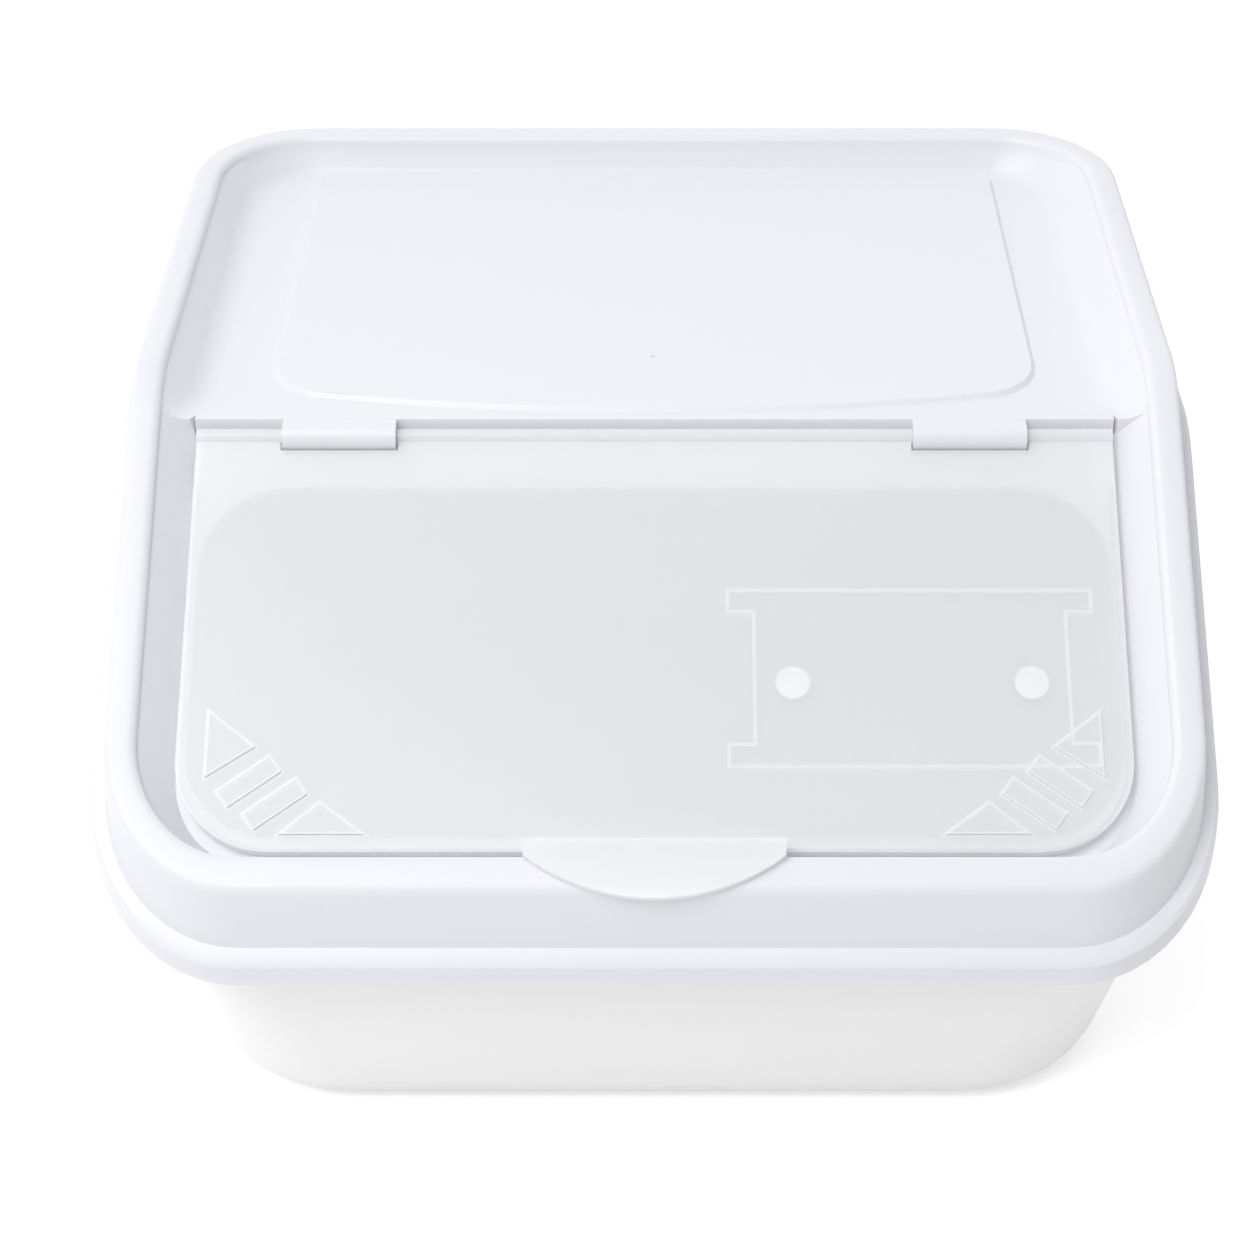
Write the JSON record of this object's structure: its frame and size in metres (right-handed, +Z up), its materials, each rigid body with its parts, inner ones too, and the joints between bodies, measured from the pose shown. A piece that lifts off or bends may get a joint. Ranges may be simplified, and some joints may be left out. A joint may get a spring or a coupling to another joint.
{
  "type": "rice bin with flip lid",
  "caption": "Squat rounded storage bin with a sloped lift-off lid and a flap that hinges up over a wide pour opening.",
  "frame": {"origin": "middle of the bin's footprint, on the surface that it stands on", "axes": "+X to the right, +Y from the front with the finger tab to the back, +Z up"},
  "size_m": [0.29, 0.288, 0.171],
  "materials": {
    "tub": "frosted translucent moulded plastic",
    "lid_frame": "satin white moulded plastic",
    "flip_lid": "frosted translucent moulded plastic"
  },
  "bodies": {
    "tub": {"tub": "tub"},
    "lid_frame": {"lid_frame": "lid_frame"},
    "flip_lid": {"flip_lid": "flip_lid"}
  },
  "joints": [
    {"name": "lid_lift", "type": "slide", "parent": "tub", "child": "lid_frame", "axis": [0, 0, 1], "range_m": [0, 0.08]},
    {"name": "flip_hinge", "type": "hinge", "parent": "lid_frame", "child": "flip_lid", "pos_m": [0, -0.0295, 0.156], "axis": [-1, 0, 0], "range_deg": [0, 135]}
  ]
}
